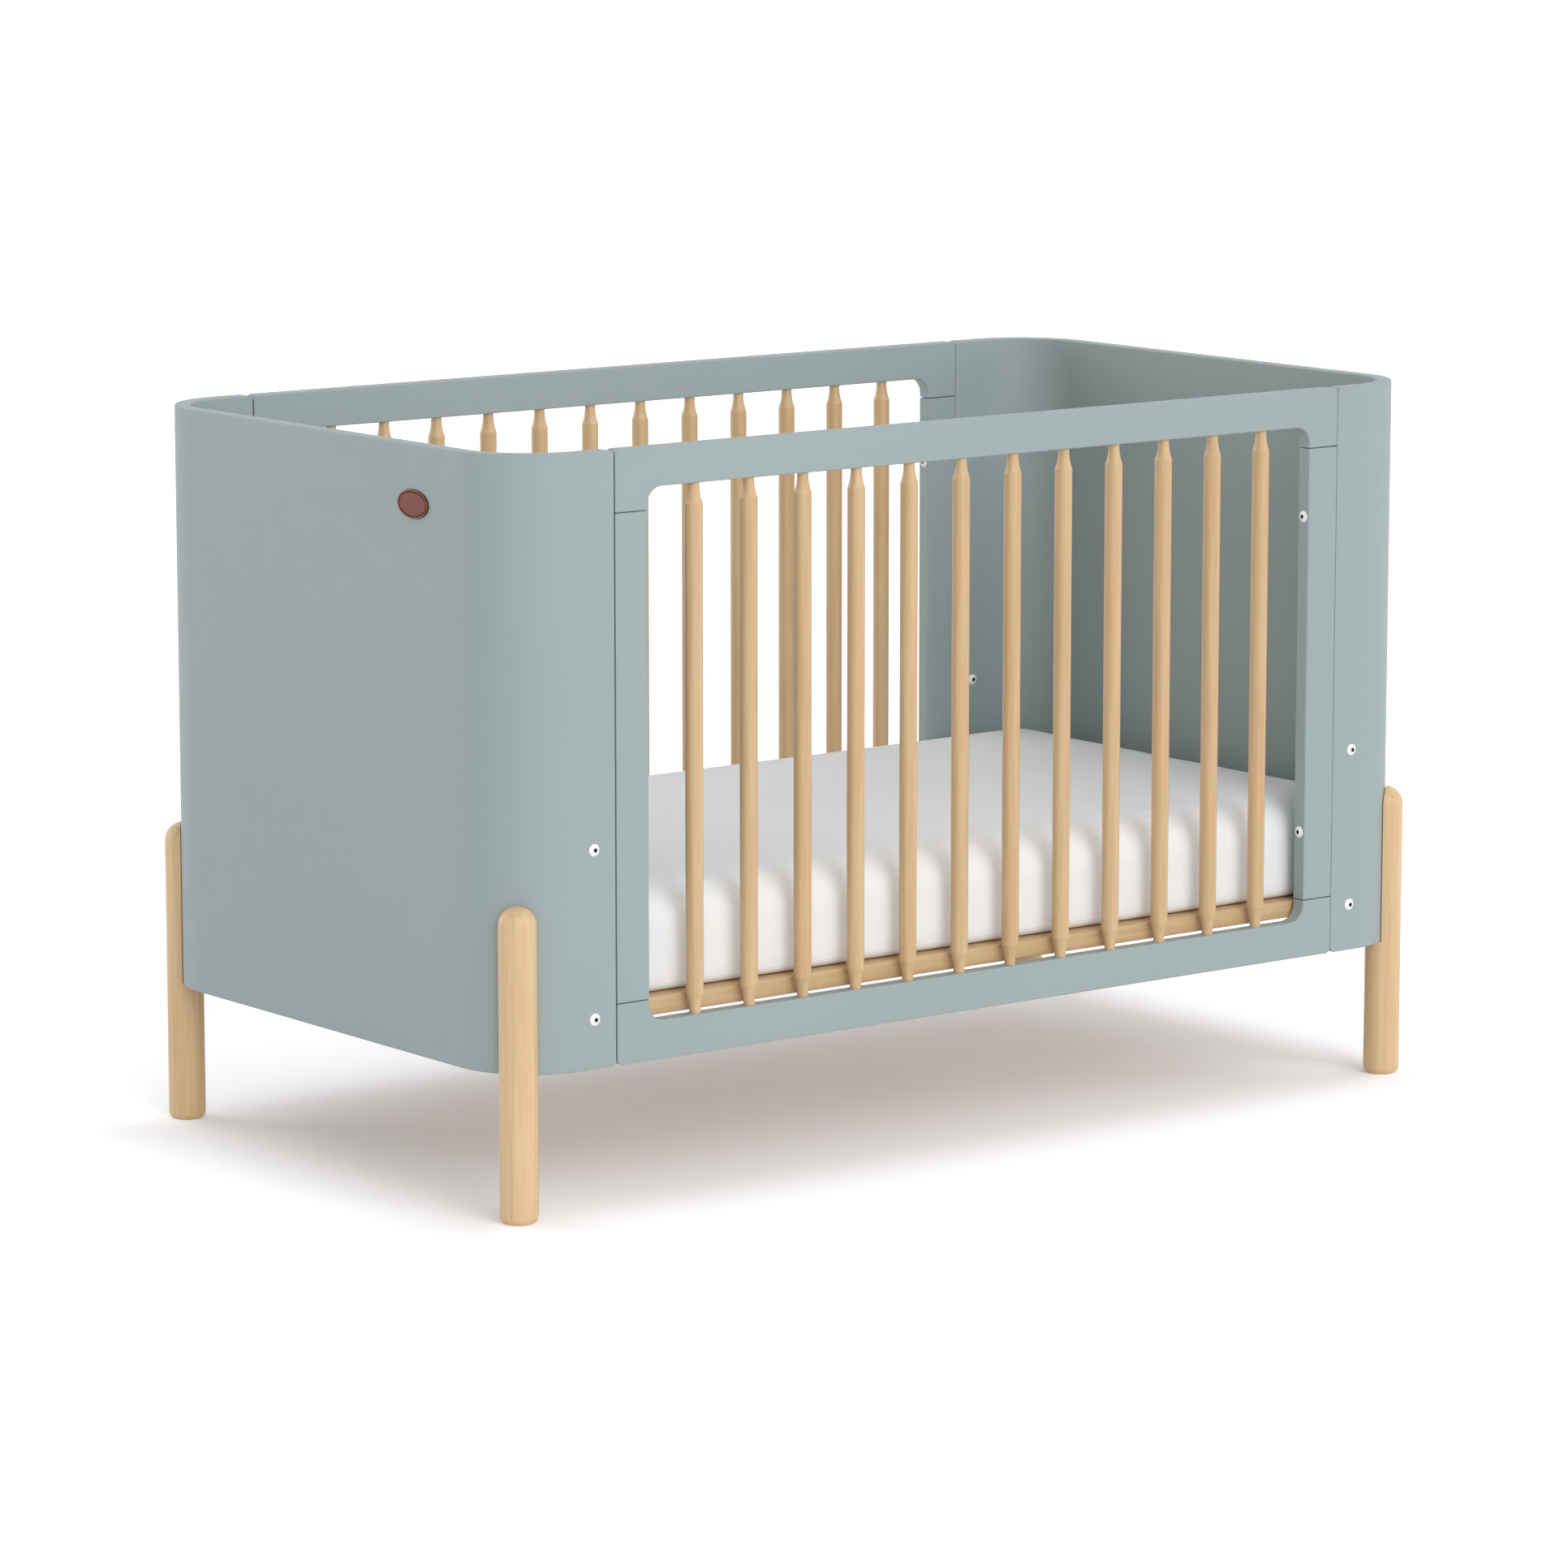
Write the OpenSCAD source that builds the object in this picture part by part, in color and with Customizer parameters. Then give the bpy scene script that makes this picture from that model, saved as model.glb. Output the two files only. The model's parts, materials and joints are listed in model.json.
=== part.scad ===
// Baby crib: two bent end panels, two spindle sides, four round legs,
// a slatted base with two heights, and a mattress.
// Millimetres. X runs along the crib, the front is at -Y, Z is up from the floor.

/* [Overall] */
// Outer length, over the two end panels
crib_length = 1370; // [1310:5:1450]
// Outer width, over the front and rear sides
crib_width = 746; // [700:2:800]
// Height of the panels' lower edge above the floor
ground_gap = 168; // [140:2:200]
// Height of the end panels and of the sides
panel_height = 694; // [660:2:740]
// Thickness of the end panels and of the side frames
board_t = 19; // [17:0.5:22]

/* [End panels] */
// Outer radius of the bent corners
corner_r = 100; // [92:1:115]
// Straight length of each return past its bent corner
return_len = 45; // [40:1:60]
// Rounding along the long edges of boards, rails and stiles
edge_r = 2; // [1:0.25:3]
// Rounding of the four visible corners at each joint of panel and side
joint_corner_r = 8; // [5:0.5:10]
// Rounding of the edges that meet at a joint
seam_r = 0.6; // [0.3:0.1:1]
// Width of the upright shadow gap between the left panel and the side frames
left_seam_gap = 2; // [0.6:0.1:2.4]
// Width of the upright shadow gap between the right panel and the side frames
right_seam_gap = 0.7; // [0.6:0.1:2.4]
// Width of the level shadow gap at the ends of the stiles
seam_gap = 1.3; // [0.8:0.1:2]
// Depth of the shadow gap
seam_depth = 3.5; // [2:0.25:4]

/* [Side frames] */
// Height of the top and bottom rails
rail_h = 45; // [40:1:55]
// Width of the upright stiles
stile_w = 45; // [40:1:60]
// Length of the ear at each end of a rail that meets the stile
ear_len = 25; // [23:0.5:30]
// Radius in the four corners of the side opening
opening_r = 20; // [12:1:22]

/* [Spindles] */
// Number of spindles in each side
spindle_count = 12; // [10:1:13]
// Diameter of a spindle
spindle_d = 20.5; // [18:0.5:22]
// Clear gap between a stile and the nearest spindle
end_gap = 60; // [50:0.5:64]
// Diameter of the spindle's neck, at the rail
neck_d = 13; // [11.5:0.1:15]
// Length of the neck, from the rail to the cove
neck_len = 3.5; // [1:0.5:8]
// Length of the hollow cove between the neck and the full diameter
cove_len = 20; // [12:1:35]
// Diameter of the tenon that sits in the rail
tenon_d = 11; // [8:0.5:11.5]
// Length of the tenon
tenon_len = 15; // [10:1:20]

/* [Legs] */
// Diameter of the legs
leg_d = 44; // [40:1:46]
// Height to which a leg reaches up the panel corner
leg_reach = 192; // [180:1:220]
// Radius of the rounding round the leg's foot
foot_r = 10.3; // [9:0.1:12]
// Height at which the foot's rounding starts
foot_rise = 8.5; // [5:0.25:9]
// Width of the shadow gap round the leg's seat on the panel
seat_gap = 1.2; // [0.6:0.1:2]
// How far the shadow gap reaches in from the side of the leg
seat_lip = 3; // [1:0.5:6]
// Height of the lower leg bolts above the panels' lower edge
leg_bolt_low = 37; // [30:1:60]
// Height of the upper leg bolts above the panels' lower edge
leg_bolt_high = 152; // [120:1:155]

/* [Base] */
// Height of the lower base bolts above the panels' lower edge
low_bolt_h = 57; // [52:1:64]
// Distance between the two heights of the base
base_travel = 192; // [160:1:220]
// Height of the base's side rails and end rails
base_rail_h = 21; // [20:0.5:26]
// Width of the base's rails
base_rail_w = 40; // [32:1:48]
// Gap between the base and the sides
base_side_gap = 3.3; // [3.1:0.1:4]
// Depth of the base rail below the axis of its bolts
base_rail_drop = 10.5; // [9:0.5:11.5]
// Distance of the base bolts from the joint of panel and side
base_bolt_inset = 31; // [26:0.5:35]
// Distance from the base bolts' heads to the base's end rails
end_rail_gap = 9.5; // [4:0.5:14]
// Distance from the base bolts' heads to the last slats
end_slat_gap = 3.5; // [2:0.5:10]
// Number of slats
slat_count = 11; // [9:1:13]
// Width of a slat
slat_w = 60; // [50:1:70]
// Thickness of a slat
slat_t = 8; // [7:0.5:9]
// Width of the ledge that carries the slats' ends
slat_ledge = 10; // [8:0.5:12]

/* [Mattress] */
// Gap between the mattress and the sides
mattress_side_gap = 14; // [10:0.5:18]
// Gap between the mattress and the end panels
mattress_end_gap = 16; // [12:0.5:20]
// Gap between the mattress's corners and the bent corners of the panels
mattress_corner_gap = 1.5; // [1:0.25:5]
// Thickness of the mattress
mattress_t = 116; // [90:1:120]
// Rounding of the mattress's upper edges
mattress_top_r = 30; // [10:1:32]
// Rounding of the mattress's lower edges
mattress_low_r = 14; // [8:1:24]

/* [Fasteners] */
// Diameter of the heads of the base bolts and their sleeve nuts
base_head_d = 14; // [12:0.5:16]
// Diameter of the heads of the frame bolts and leg bolts
frame_head_d = 14; // [10:0.5:14.5]
// Height of all domed heads
head_h = 2.8; // [2:0.1:2.9]
// Diameter of the bolts
bolt_d = 6; // [5:0.5:6.5]
// Width across the flats of the hex sockets
hex_af = 5; // [3:0.5:5.5]
// Depth of the hex sockets
socket_depth = 2.4; // [1.5:0.1:2.6]
// Outer diameter of the sleeve nuts
sleeve_d = 8; // [7.5:0.1:9]
// Outer diameter of the threaded inserts
insert_d = 9; // [8:0.5:10]
// Length of the threaded inserts
insert_len = 14; // [10:1:16]
// Distance of the frame bolts from the panels' upper and lower edges
frame_bolt_inset = 154; // [120:1:200]
// Diameter of the dowels in the side frames
dowel_d = 8; // [6:0.5:10]
// Length of all dowels
dowel_len = 30; // [24:1:36]
// Diameter of the dowels in the base
base_dowel_d = 6; // [5:0.5:8]

/* [Badge] */
// Width of the oval badge
badge_w = 59; // [40:1:80]
// Height of the oval badge
badge_h = 33; // [24:1:50]
// Distance of the badge's centre from the panel's upper edge
badge_drop = 67; // [50:1:90]
// Distance of the badge's centre from the middle of the panel
badge_side = 191.5; // [0:0.5:200]
// Thickness of the badge
badge_t = 3; // [2.5:0.1:4]
// Depth of the pocket that the badge sits in
badge_pocket = 1; // [0.5:0.1:1.5]
// Width of the badge's raised rim
badge_rim = 2; // [1:0.1:3]
// Width of the groove inside the rim
badge_groove = 1.5; // [0.8:0.1:2]

/* [Hidden] */
// Clearance round parts that slide past or rest on each other
clear = 0.3;
// Step round the badge's edge, and depth of its groove
badge_step = 0.7;
// Radial clearance round shanks, dowels and tenons in their holes
hole_clear = 0.1;
// Overrun of cutting shapes past the faces they cut
over = 1;
// Free depth of the holes past the ends of dowels and inserts
hole_spare = 1;
// Thread left free past the tips of bolts and the open ends of sleeve nuts
thread_spare = 2;
// Thickness of a sleeve nut's closed end, under its head
nut_floor = 1;

half_l = crib_length / 2;
half_w = crib_width / 2;
panel_z = ground_gap;
top_z = panel_z + panel_height;

// Bent corners
bend_x = half_l - corner_r;
bend_y = half_w - corner_r;
inner_r = corner_r - board_t;
// Joint of panel and side frame
seam_x = bend_x - return_len;
// Middle of the board's thickness, in the front side
board_mid = board_t / 2;

// Side opening
open_half = seam_x - stile_w;
open_low = panel_z + rail_h;
open_high = top_z - rail_h;
stile_low = open_low + ear_len;
stile_high = open_high - ear_len;
spindle_r = spindle_d / 2;
spindle_l = open_high - open_low;
spindle_pitch = (2 * open_half - 2 * end_gap - spindle_d) / (spindle_count - 1);

// Legs
leg_r = leg_d / 2;
leg_h = ground_gap + leg_reach;
leg_bolt_z = [panel_z + leg_bolt_low, panel_z + leg_bolt_high];
// Distance from a corner's axis to the seat of the sunk heads, whose domes end at the inner face
leg_bolt_seat = inner_r + head_h;

// Bolts
bolt_hole_d = bolt_d + 2 * hole_clear;
sleeve_hole_d = sleeve_d + 2 * hole_clear;
insert_hole_d = insert_d + 2 * hole_clear;
low_bolt_z = panel_z + low_bolt_h;
high_bolt_z = low_bolt_z + base_travel;
base_bolt_x = seam_x + base_bolt_inset;
frame_bolt_z = [panel_z + frame_bolt_inset, top_z - frame_bolt_inset];
frame_bolt_l = stile_w + hole_spare + insert_len - thread_spare;
leg_bolt_l = corner_r - leg_bolt_seat + insert_len - thread_spare;
base_bolt_l = board_t - nut_floor - thread_spare;

// Dowels
dowel_hole_d = dowel_d + 2 * hole_clear;
stile_dowel_x = stile_w / 4;
base_dowel_hole_d = base_dowel_d + 2 * hole_clear;
base_dowel_gap = base_rail_w / 4;

// Base
base_z = low_bolt_z - base_rail_drop;
base_top = base_z + base_rail_h;
slat_z = base_top - slat_t;
base_half_w = half_w - board_t - base_side_gap;
base_corner_r = inner_r - base_side_gap;
// Distance that the base's round ends stay back from the bends
base_setback = 8;
base_half_l = bend_x - base_setback + base_corner_r;
base_inner_y = base_half_w - base_rail_w;
end_rail_x = base_bolt_x + base_head_d / 2 + end_rail_gap;
centre_rail_h = base_rail_h - slat_t;
base_dowel_z = base_z + centre_rail_h / 2;
slat_reach = base_bolt_x - base_head_d / 2 - end_slat_gap;
slat_half_l = base_inner_y + slat_ledge - clear;
slat_pitch = 2 * (slat_reach - slat_w / 2) / (slat_count - 1);

// Mattress
mattress_z = base_top + clear;
mattress_half_l = half_l - board_t - mattress_end_gap;
mattress_half_w = half_w - board_t - mattress_side_gap;
// Radius at which the mattress's upright corners keep their gap to the bent corners
mattress_corner_r = inner_r + mattress_corner_gap - mattress_end_gap - mattress_side_gap
    - sqrt(2 * (mattress_end_gap - mattress_corner_gap)
        * (mattress_side_gap - mattress_corner_gap));

paint = [0.66, 0.71, 0.71];
beech = [0.87, 0.74, 0.56];
white_steel = [0.9, 0.9, 0.9];
bare_steel = [0.62, 0.62, 0.64];
cover = [0.93, 0.93, 0.92];
copper = [0.62, 0.40, 0.33];

function two_digits(i) = str(i < 10 ? "0" : "", i);
function spindle_name(side, i) = str(side, "_spindle_", two_digits(i));
function spindle_x(i) = (i - (spindle_count + 1) / 2) * spindle_pitch;

// ---------- plane shapes ----------

// What a rounding of radius r takes off the corner at the origin
module corner_waste(r) {
    difference() {
        translate([-over, -over]) square(r + over);
        translate([r, r]) circle(r, $fn = 48);
    }
}

// Rectangle from the origin, with its corner radii given from lower left, anticlockwise
module rounded_rect(w, h, radii) {
    difference() {
        square([w, h]);
        corner_waste(radii[0]);
        translate([w, 0]) rotate(90) corner_waste(radii[1]);
        translate([w, h]) rotate(180) corner_waste(radii[2]);
        translate([0, h]) rotate(270) corner_waste(radii[3]);
    }
}

// Cross-section of the bent board: thickness by height
module board_section() {
    rounded_rect(board_t, panel_height, [edge_r, edge_r, edge_r, edge_r]);
}

// Plan section of a stile of the right-hand end, from its opening side
module stile_section() {
    rounded_rect(stile_w, board_t, [edge_r, seam_r, seam_r, edge_r]);
}

module oval(w, h) {
    polygon([for (a = [0:7.5:352.5]) [cos(a) * w / 2, sin(a) * h / 2]]);
}

// ---------- placing ----------

// Draws its children on the right, and mirrored on the left
module both_ends() {
    for (side = [0, 1]) mirror([side, 0, 0]) children();
}

// Draws its children at the front, and mirrored at the rear
module both_sides() {
    for (side = [0, 1]) mirror([0, side, 0]) children();
}

// Turns a shape that points along Z so that it points along -Y
module facing_front() {
    rotate([90, 0, 0]) children();
}

// Turns a shape that points along Z so that it points along +X
module facing_right() {
    rotate([0, 90, 0]) children();
}

// Extrudes a plane shape along +X, its own axes lying along Y and Z
module along_x(length) {
    rotate([90, 0, 90]) linear_extrude(length) children();
}

// Extrudes a plane shape along +Y, its own axes lying along X and Z
module along_y(length) {
    translate([0, length, 0]) rotate([90, 0, 0]) linear_extrude(length) children();
}

// ---------- fasteners ----------

// Domed head on a shank that points down, with the head's flat underside at z = 0
module domed_bolt(head_d, shank_d, length) {
    dome_r = (pow(head_d / 2, 2) + pow(head_h, 2)) / (2 * head_h);
    difference() {
        union() {
            intersection() {
                cylinder(h = head_h, d = head_d, $fn = 48);
                translate([0, 0, head_h - dome_r]) sphere(dome_r, $fn = 96);
            }
            translate([0, 0, -length]) cylinder(h = length, d = shank_d, $fn = 32);
        }
        translate([0, 0, head_h - socket_depth])
            cylinder(h = head_h, d = hex_af / cos(30), $fn = 6);
    }
}

// Sleeve nut: a domed bolt whose shank is bored from its free end
module sleeve_nut(length) {
    difference() {
        domed_bolt(base_head_d, sleeve_d, length);
        translate([0, 0, -length - over])
            cylinder(h = length + over - nut_floor, d = bolt_hole_d, $fn = 32);
    }
}

// Threaded insert from z = 0 up
module insert() {
    difference() {
        cylinder(h = insert_len, d = insert_d, $fn = 32);
        translate([0, 0, -over]) cylinder(h = insert_len + 2 * over, d = bolt_hole_d, $fn = 32);
    }
}

// Blind or through hole centred on z = 0
module hole(diameter, length) {
    cylinder(h = length, d = diameter, center = true, $fn = 32);
}

// ---------- end panels ----------

// Places its children at the axis of the two bent corners of the right-hand panel,
// with +X pointing out through the middle of the bend
module at_bends() {
    both_sides() translate([bend_x, -bend_y, 0]) rotate(-45) children();
}

module bent_board() {
    translate([half_l - board_t, -bend_y, panel_z]) along_y(2 * bend_y) board_section();
    at_bends() translate([0, 0, panel_z]) rotate(-45) rotate_extrude(angle = 90, $fn = 128)
        translate([inner_r, 0]) board_section();
    both_sides() translate([seam_x, -half_w, panel_z]) along_x(return_len) board_section();
}

// Waste of the front return's free end: the shadow gap round the core that meets the rails
// and stile, then the rounding of the two corners and the two upright edges beside it
module return_waste(gap) {
    face_x = seam_x + gap;
    difference() {
        translate([seam_x - over, -half_w - over, panel_z - over])
            cube([gap + over, board_t + 2 * over, panel_height + 2 * over]);
        translate([seam_x - 2 * over, -half_w + seam_depth, panel_z + joint_corner_r])
            cube([gap + 3 * over, board_t - 2 * seam_depth,
                panel_height - 2 * joint_corner_r]);
    }
    translate([face_x, -half_w - over, panel_z]) along_y(board_t + 2 * over)
        corner_waste(joint_corner_r);
    translate([face_x, -half_w - over, top_z]) mirror([0, 0, 1])
        along_y(board_t + 2 * over) corner_waste(joint_corner_r);
    translate([face_x, -half_w, panel_z - over]) linear_extrude(panel_height + 2 * over)
        corner_waste(seam_r);
    translate([face_x, -half_w + board_t, panel_z - over]) mirror([0, 1, 0])
        linear_extrude(panel_height + 2 * over) corner_waste(seam_r);
}

module panel_holes() {
    both_sides() {
        for (z = [low_bolt_z, high_bolt_z])
            translate([base_bolt_x, -half_w + board_mid, z]) facing_front()
                hole(sleeve_hole_d, board_t + 2 * over);
        for (z = frame_bolt_z)
            translate([seam_x, -half_w + board_mid, z]) facing_right()
                hole(insert_hole_d, 2 * (insert_len + hole_spare));
        for (z = [panel_z + rail_h / 2, top_z - rail_h / 2])
            translate([seam_x, -half_w + board_mid, z]) facing_right()
                hole(dowel_hole_d, dowel_len + 2 * hole_spare);
    }
    at_bends() for (z = leg_bolt_z) {
        translate([corner_r - board_mid, 0, z]) facing_right()
            hole(bolt_hole_d, board_t + 2 * over);
        translate([leg_bolt_seat, 0, z]) facing_right()
            hole(frame_head_d + 2 * hole_clear, 2 * (head_h + over));
    }
}

module end_panel(gap) {
    difference() {
        bent_board();
        both_sides() return_waste(gap);
        panel_holes();
    }
}

module right_end_panel() {
    color(paint) end_panel(right_seam_gap);
}

// Centre of the badge on the left panel's outer face, with Z pointing out of the panel
module at_badge() {
    translate([-half_l, -badge_side, top_z - badge_drop]) rotate([90, 0, -90]) children();
}

module left_end_panel() {
    color(paint) difference() {
        mirror([1, 0, 0]) end_panel(left_seam_gap);
        at_badge() translate([0, 0, -badge_pocket]) linear_extrude(badge_pocket + over)
            oval(badge_w + 2 * hole_clear, badge_h + 2 * hole_clear);
    }
}

// Oval plate with a narrow rim and a groove round a bare field
module badge() {
    field_inset = badge_rim + badge_groove;
    color(copper) at_badge() translate([0, 0, -badge_pocket]) {
        linear_extrude(badge_t - badge_step) oval(badge_w, badge_h);
        linear_extrude(badge_t) difference() {
            oval(badge_w - badge_step, badge_h - badge_step);
            oval(badge_w - 2 * badge_rim, badge_h - 2 * badge_rim);
        }
        linear_extrude(badge_t) oval(badge_w - 2 * field_inset, badge_h - 2 * field_inset);
    }
}

// ---------- side frames ----------

// Rounds the inner corner between rail and ear: a quarter ring about the opening's corner
module opening_fillet() {
    ring_w = min(rail_h, stile_w) / 2;
    translate([open_half - opening_r, board_t, rail_h + opening_r])
        rotate([90, 0, 0]) rotate(-90) rotate_extrude(angle = 90, $fn = 96)
            translate([opening_r, 0]) rounded_rect(ring_w, board_t, [edge_r, 0, 0, edge_r]);
}

// Front bottom rail with its two ears, its outer face at y = 0 and its lower edge at z = 0
module side_rail() {
    ear_top = rail_h + ear_len;
    difference() {
        union() {
            translate([-seam_x, 0, 0]) along_x(2 * seam_x)
                rounded_rect(board_t, rail_h, [edge_r, edge_r, edge_r, edge_r]);
            both_ends() {
                translate([open_half, 0, rail_h / 2]) linear_extrude(ear_top - rail_h / 2)
                    stile_section();
                opening_fillet();
            }
        }
        both_ends() rail_end_waste(ear_top);
        both_ends() rail_end_holes(ear_top);
        for (i = [1:spindle_count])
            translate([spindle_x(i), board_mid, rail_h])
                hole(tenon_d + 2 * hole_clear, 2 * (tenon_len + clear));
    }
}

// Rounding of the rail's right-hand end and of the edges round the ear's end
module rail_end_waste(ear_top) {
    translate([seam_x, -over, 0]) mirror([1, 0, 0]) along_y(board_t + 2 * over)
        corner_waste(joint_corner_r);
    translate([seam_x, 0, -over]) mirror([1, 0, 0]) linear_extrude(ear_top + 2 * over)
        corner_waste(seam_r);
    translate([seam_x, board_t, -over]) rotate(180) linear_extrude(ear_top + 2 * over)
        corner_waste(seam_r);
    translate([open_half - over, 0, ear_top]) mirror([0, 0, 1]) along_x(stile_w + 2 * over)
        corner_waste(seam_r);
    translate([open_half - over, board_t, ear_top]) rotate([180, 0, 0])
        along_x(stile_w + 2 * over) corner_waste(seam_r);
}

module rail_end_holes(ear_top) {
    translate([seam_x, board_mid, rail_h / 2]) facing_right()
        hole(dowel_hole_d, dowel_len + 2 * hole_spare);
    for (side = [-1, 1])
        translate([open_half + stile_w / 2 + side * stile_dowel_x, board_mid, ear_top])
            hole(dowel_hole_d, dowel_len + 2 * hole_spare);
}

module bottom_rail(y) {
    color(paint) translate([0, y, panel_z]) side_rail();
}

module top_rail(y) {
    color(paint) translate([0, y, top_z]) mirror([0, 0, 1]) side_rail();
}

// Right-hand stile, its outer face at y = 0
module stile() {
    stile_l = stile_high - stile_low;
    difference() {
        translate([open_half, 0, stile_low]) linear_extrude(stile_l) stile_section();
        for (flip = [0, 1]) translate([0, 0, (stile_low + stile_high) / 2]) mirror([0, 0, flip])
            translate([0, 0, -stile_l / 2]) stile_end_waste();
        for (z = frame_bolt_z)
            translate([open_half + stile_w / 2, board_mid, z]) facing_right()
                hole(bolt_hole_d, stile_w + 2 * over);
    }
}

// Waste of a stile's end at z = 0: the shadow gap round the core that meets the ear,
// the rounding of the edges beside it, and the holes for the dowels
module stile_end_waste() {
    difference() {
        translate([open_half - over, -over, -over])
            cube([stile_w + 2 * over, board_t + 2 * over, seam_gap + over]);
        translate([open_half + seam_depth, seam_depth, -2 * over])
            cube([stile_w - 2 * seam_depth, board_t - 2 * seam_depth, seam_gap + 3 * over]);
    }
    translate([open_half - over, 0, seam_gap]) along_x(stile_w + 2 * over)
        corner_waste(seam_r);
    translate([open_half - over, board_t, seam_gap]) mirror([0, 1, 0])
        along_x(stile_w + 2 * over) corner_waste(seam_r);
    for (side = [-1, 1])
        translate([open_half + stile_w / 2 + side * stile_dowel_x, board_mid, 0])
            hole(dowel_hole_d, dowel_len + 2 * hole_spare);
}

// Stile of the given end (0 right, 1 left), with its outer face at height y
module side_stile(left, y) {
    color(paint) mirror([left, 0, 0]) translate([0, y, 0]) stile();
}

// What turning takes off a spindle's lower end: the strip beside the neck and the cove above it
module cove_waste() {
    neck_r = neck_d / 2;
    rise = spindle_r - neck_r;
    cove_r = (pow(cove_len, 2) + pow(rise, 2)) / (2 * rise);
    translate([neck_r, -over]) square([rise + over, neck_len + over]);
    translate([neck_r + cove_r, neck_len]) circle(cove_r, $fn = 256);
}

// Turned spindle with a tenon, a neck and a cove at each end
module spindle(i, y) {
    color(beech) translate([spindle_x(i), y, open_low]) rotate_extrude($fn = 48) {
        difference() {
            square([spindle_r, spindle_l]);
            cove_waste();
            translate([0, spindle_l]) mirror([0, 1]) cove_waste();
        }
        translate([0, -tenon_len]) square([tenon_d / 2, spindle_l + 2 * tenon_len]);
    }
}

// ---------- legs ----------

// Round leg with a domed top and a rounded foot, standing at the origin
module leg_blank() {
    translate([0, 0, foot_rise]) cylinder(h = leg_h - leg_r - foot_rise, r = leg_r, $fn = 64);
    cylinder(h = foot_rise, r = leg_r - foot_r, $fn = 64);
    rotate_extrude($fn = 64) intersection() {
        translate([leg_r - foot_r, foot_rise]) circle(foot_r, $fn = 96);
        translate([leg_r - foot_r, 0]) square([foot_r, foot_rise]);
    }
    translate([0, 0, leg_h - leg_r]) sphere(leg_r, $fn = 64);
}

// Shell of wood cut away between leg and panel, all round the part of the leg that stays
// seated on the bend
module seat_waste() {
    seat_r = leg_r - seat_lip;
    difference() {
        translate([0, 0, panel_z]) cylinder(h = leg_h, r = corner_r + seat_gap, $fn = 256);
        translate([corner_r, 0, 0]) {
            cylinder(h = leg_h - leg_r, r = seat_r, $fn = 64);
            translate([0, 0, leg_h - leg_r]) sphere(seat_r, $fn = 64);
        }
    }
}

// Leg of one corner: its upper half is cut to hug the outside of the bend,
// so that the panel's lower edge stands on the shoulder
module corner_leg(left, rear) {
    color(beech) mirror([left, 0, 0]) mirror([0, rear, 0]) translate([bend_x, -bend_y, 0])
        rotate(-45) difference() {
            translate([corner_r, 0, 0]) leg_blank();
            translate([0, 0, panel_z]) cylinder(h = leg_h, r = corner_r, $fn = 256);
            seat_waste();
            for (z = leg_bolt_z)
                translate([corner_r, 0, z]) facing_right()
                    hole(insert_hole_d, 2 * (insert_len + hole_spare));
        }
}

module leg_bolts() {
    color(white_steel) both_ends() at_bends() for (z = leg_bolt_z)
        translate([leg_bolt_seat, 0, z]) rotate([0, -90, 0])
            domed_bolt(frame_head_d, bolt_d, leg_bolt_l);
}

module leg_inserts() {
    color(bare_steel) both_ends() at_bends() for (z = leg_bolt_z)
        translate([corner_r, 0, z]) facing_right() insert();
}

// ---------- frame fasteners ----------

module frame_bolts() {
    color(white_steel) both_ends() both_sides() for (z = frame_bolt_z)
        translate([open_half, -half_w + board_mid, z]) rotate([0, -90, 0])
            domed_bolt(frame_head_d, bolt_d, frame_bolt_l);
}

module frame_inserts() {
    color(bare_steel) both_ends() both_sides() for (z = frame_bolt_z)
        translate([seam_x + hole_spare, -half_w + board_mid, z]) facing_right() insert();
}

// Dowels between the rails' ends and the panels
module panel_dowels() {
    color(beech) both_ends() both_sides()
        for (z = [panel_z + rail_h / 2, top_z - rail_h / 2])
            translate([seam_x, -half_w + board_mid, z]) facing_right() hole(dowel_d, dowel_len);
}

// Dowels between the stiles' ends and the ears of the rails
module stile_dowels() {
    color(beech) both_ends() both_sides() for (z = [stile_low, stile_high])
        for (side = [-1, 1])
            translate([open_half + stile_w / 2 + side * stile_dowel_x, -half_w + board_mid, z])
                hole(dowel_d, dowel_len);
}

// Bolts of both base heights, their heads on the outside of the returns
module base_bolts() {
    color(white_steel) both_ends() both_sides() for (z = [low_bolt_z, high_bolt_z])
        translate([base_bolt_x, -half_w, z]) facing_front()
            domed_bolt(base_head_d, bolt_d, base_bolt_l);
}

// Sleeve nuts that close the upper holes on the inside
module upper_sleeve_nuts() {
    color(white_steel) both_ends() both_sides()
        translate([base_bolt_x, -half_w + board_t, high_bolt_z]) rotate([-90, 0, 0])
            sleeve_nut(board_t - thread_spare);
}

// Sleeve nuts that hold the base's side rails in the lower holes
module lower_sleeve_nuts() {
    color(white_steel) both_ends() both_sides()
        translate([base_bolt_x, -base_inner_y + clear, low_bolt_z]) rotate([-90, 0, 0])
            sleeve_nut(base_rail_w + clear + base_side_gap + board_t - thread_spare);
}

// ---------- base ----------

// Outline of the base in plan
module base_outline() {
    translate([-base_half_l, -base_half_w])
        rounded_rect(2 * base_half_l, 2 * base_half_w,
            [base_corner_r, base_corner_r, base_corner_r, base_corner_r]);
}

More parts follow.
